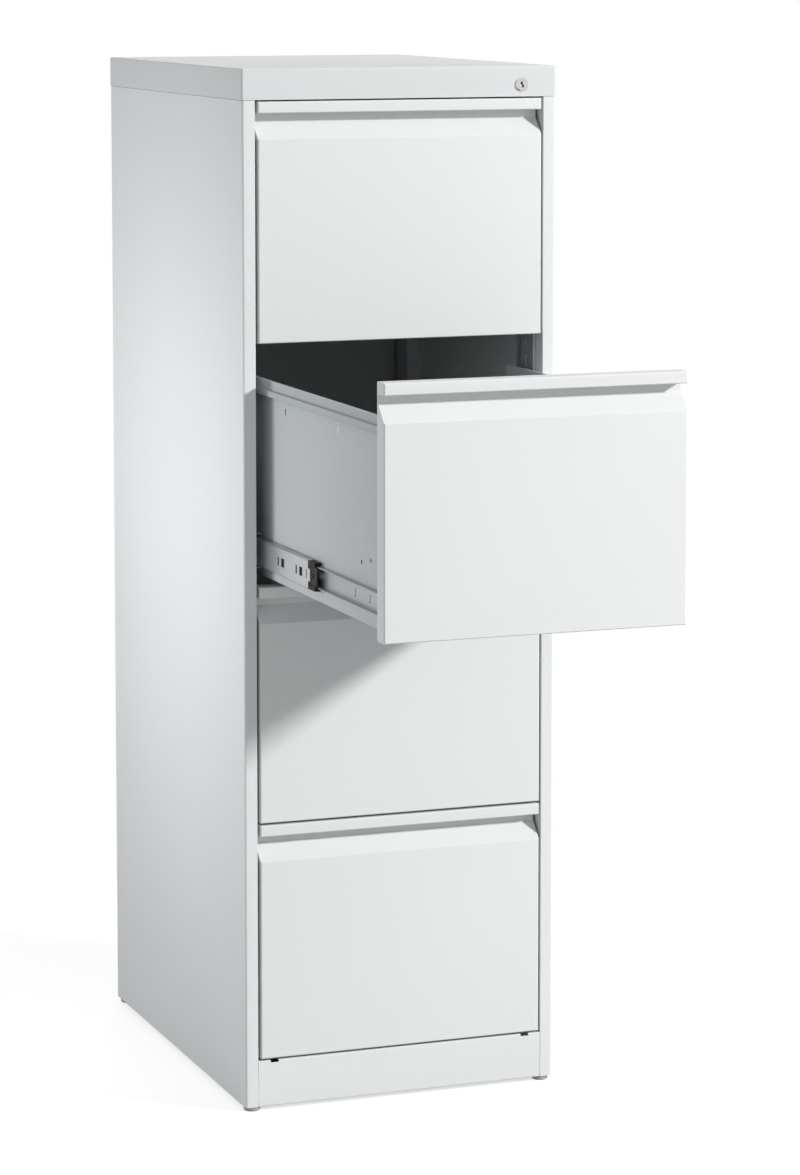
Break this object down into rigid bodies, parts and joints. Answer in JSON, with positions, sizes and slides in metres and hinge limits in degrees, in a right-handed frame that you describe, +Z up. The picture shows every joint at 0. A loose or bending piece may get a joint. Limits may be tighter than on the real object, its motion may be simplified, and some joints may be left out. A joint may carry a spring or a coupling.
{
  "type": "filing cabinet",
  "caption": "Tall steel filing cabinet with suspension-file drawers on telescopic ball runners, folded grip fronts and a central lock; one drawer is pulled out.",
  "frame": {"origin": "on the floor, at the centre of the closed cabinet's footprint (width over the top cover, depth from the drawer faces to the rear edge)", "axes": "+X to the right as seen from the front, +Y into the cabinet (the drawers open towards -Y), +Z up"},
  "size_m": [0.433, 1.05, 1.357],
  "materials": {
    "grey_paint": "satin light grey powder coat with a fine texture",
    "zinc_steel": "bright zinc-plated steel",
    "lock_chrome": "polished",
    "black_plastic": "matte",
    "grey_plastic": "matte"
  },
  "bodies": {
    "cabinet": {"left_side_panel": "grey_paint", "right_side_panel": "grey_paint", "rear_panel": "grey_paint", "top_cover": "grey_paint", "base_panel": "grey_paint", "uprights": "zinc_steel", "runner_brackets": "zinc_steel", "cabinet_runners": "zinc_steel", "glide_feet": "grey_plastic", "lock_barrel": "lock_chrome", "lock_bar_guides": "zinc_steel"},
    "lock_plug": {"lock_plug": "lock_chrome", "lock_cam": "zinc_steel"},
    "lock_bar": {"lock_bar": "zinc_steel", "lock_bar_plate": "zinc_steel", "lock_hooks": "zinc_steel"},
    "drawer_1": {"drawer_front_1": "grey_paint", "drawer_liner_1": "grey_paint", "drawer_tray_1": "grey_paint", "drawer_back_1": "grey_paint", "hanging_rails_1": "grey_paint", "drawer_runners_1": "zinc_steel", "drawer_catch_1": "zinc_steel"},
    "middle_runners_1": {"middle_runners_1": "zinc_steel", "runner_bumpers_1": "black_plastic"},
    "outer_cages_1": {"outer_ball_cages_1": "black_plastic"},
    "inner_cages_1": {"inner_ball_cages_1": "black_plastic"},
    "drawer_2": {"drawer_front_2": "grey_paint", "drawer_liner_2": "grey_paint", "drawer_tray_2": "grey_paint", "drawer_back_2": "grey_paint", "hanging_rails_2": "grey_paint", "drawer_runners_2": "zinc_steel", "drawer_catch_2": "zinc_steel"},
    "middle_runners_2": {"middle_runners_2": "zinc_steel", "runner_bumpers_2": "black_plastic"},
    "outer_cages_2": {"outer_ball_cages_2": "black_plastic"},
    "inner_cages_2": {"inner_ball_cages_2": "black_plastic"},
    "drawer_3": {"drawer_front_3": "grey_paint", "drawer_liner_3": "grey_paint", "drawer_tray_3": "grey_paint", "drawer_back_3": "grey_paint", "hanging_rails_3": "grey_paint", "drawer_runners_3": "zinc_steel", "drawer_catch_3": "zinc_steel"},
    "middle_runners_3": {"middle_runners_3": "zinc_steel", "runner_bumpers_3": "black_plastic"},
    "outer_cages_3": {"outer_ball_cages_3": "black_plastic"},
    "inner_cages_3": {"inner_ball_cages_3": "black_plastic"},
    "drawer_4": {"drawer_front_4": "grey_paint", "drawer_liner_4": "grey_paint", "drawer_tray_4": "grey_paint", "drawer_back_4": "grey_paint", "hanging_rails_4": "grey_paint", "drawer_runners_4": "zinc_steel", "drawer_catch_4": "zinc_steel"},
    "middle_runners_4": {"middle_runners_4": "zinc_steel", "runner_bumpers_4": "black_plastic"},
    "outer_cages_4": {"outer_ball_cages_4": "black_plastic"},
    "inner_cages_4": {"inner_ball_cages_4": "black_plastic"}
  },
  "joints": [
    {"name": "lock_bar_drop", "type": "slide", "parent": "cabinet", "child": "lock_bar", "axis": [0, 0, -1], "range_m": [0, 0.0099]},
    {"name": "lock_plug_turn", "type": "hinge", "parent": "cabinet", "child": "lock_plug", "pos_m": [0.1676, -0.293, 1.3327], "axis": [0, 1, 0], "range_deg": [0, 110]},
    {"name": "drawer_1_slide", "type": "slide", "parent": "cabinet", "child": "drawer_1", "axis": [0, -1, 0], "range_m": [0, 0.5]},
    {"name": "middle_runners_1_slide", "type": "slide", "parent": "cabinet", "child": "middle_runners_1", "axis": [0, -1, 0], "range_m": [0, 0.25]},
    {"name": "outer_cages_1_slide", "type": "slide", "parent": "cabinet", "child": "outer_cages_1", "axis": [0, -1, 0], "range_m": [0, 0.125]},
    {"name": "inner_cages_1_slide", "type": "slide", "parent": "cabinet", "child": "inner_cages_1", "axis": [0, -1, 0], "range_m": [0, 0.375]},
    {"name": "drawer_2_slide", "type": "slide", "parent": "cabinet", "child": "drawer_2", "axis": [0, -1, 0], "range_m": [-0.46, 0.04]},
    {"name": "middle_runners_2_slide", "type": "slide", "parent": "cabinet", "child": "middle_runners_2", "axis": [0, -1, 0], "range_m": [-0.23, 0.02]},
    {"name": "outer_cages_2_slide", "type": "slide", "parent": "cabinet", "child": "outer_cages_2", "axis": [0, -1, 0], "range_m": [-0.115, 0.01]},
    {"name": "inner_cages_2_slide", "type": "slide", "parent": "cabinet", "child": "inner_cages_2", "axis": [0, -1, 0], "range_m": [-0.345, 0.03]},
    {"name": "drawer_3_slide", "type": "slide", "parent": "cabinet", "child": "drawer_3", "axis": [0, -1, 0], "range_m": [0, 0.5]},
    {"name": "middle_runners_3_slide", "type": "slide", "parent": "cabinet", "child": "middle_runners_3", "axis": [0, -1, 0], "range_m": [0, 0.25]},
    {"name": "outer_cages_3_slide", "type": "slide", "parent": "cabinet", "child": "outer_cages_3", "axis": [0, -1, 0], "range_m": [0, 0.125]},
    {"name": "inner_cages_3_slide", "type": "slide", "parent": "cabinet", "child": "inner_cages_3", "axis": [0, -1, 0], "range_m": [0, 0.375]},
    {"name": "drawer_4_slide", "type": "slide", "parent": "cabinet", "child": "drawer_4", "axis": [0, -1, 0], "range_m": [0, 0.5]},
    {"name": "middle_runners_4_slide", "type": "slide", "parent": "cabinet", "child": "middle_runners_4", "axis": [0, -1, 0], "range_m": [0, 0.25]},
    {"name": "outer_cages_4_slide", "type": "slide", "parent": "cabinet", "child": "outer_cages_4", "axis": [0, -1, 0], "range_m": [0, 0.125]},
    {"name": "inner_cages_4_slide", "type": "slide", "parent": "cabinet", "child": "inner_cages_4", "axis": [0, -1, 0], "range_m": [0, 0.375]}
  ],
  "couplings": [
    {"joint": "lock_plug_turn", "follows": "lock_bar_drop", "rad_per_m": 158.68},
    {"joint": "middle_runners_1_slide", "follows": "drawer_1_slide", "ratio": 0.5},
    {"joint": "outer_cages_1_slide", "follows": "drawer_1_slide", "ratio": 0.25},
    {"joint": "inner_cages_1_slide", "follows": "drawer_1_slide", "ratio": 0.75},
    {"joint": "middle_runners_2_slide", "follows": "drawer_2_slide", "ratio": 0.5},
    {"joint": "outer_cages_2_slide", "follows": "drawer_2_slide", "ratio": 0.25},
    {"joint": "inner_cages_2_slide", "follows": "drawer_2_slide", "ratio": 0.75},
    {"joint": "middle_runners_3_slide", "follows": "drawer_3_slide", "ratio": 0.5},
    {"joint": "outer_cages_3_slide", "follows": "drawer_3_slide", "ratio": 0.25},
    {"joint": "inner_cages_3_slide", "follows": "drawer_3_slide", "ratio": 0.75},
    {"joint": "middle_runners_4_slide", "follows": "drawer_4_slide", "ratio": 0.5},
    {"joint": "outer_cages_4_slide", "follows": "drawer_4_slide", "ratio": 0.25},
    {"joint": "inner_cages_4_slide", "follows": "drawer_4_slide", "ratio": 0.75}
  ]
}
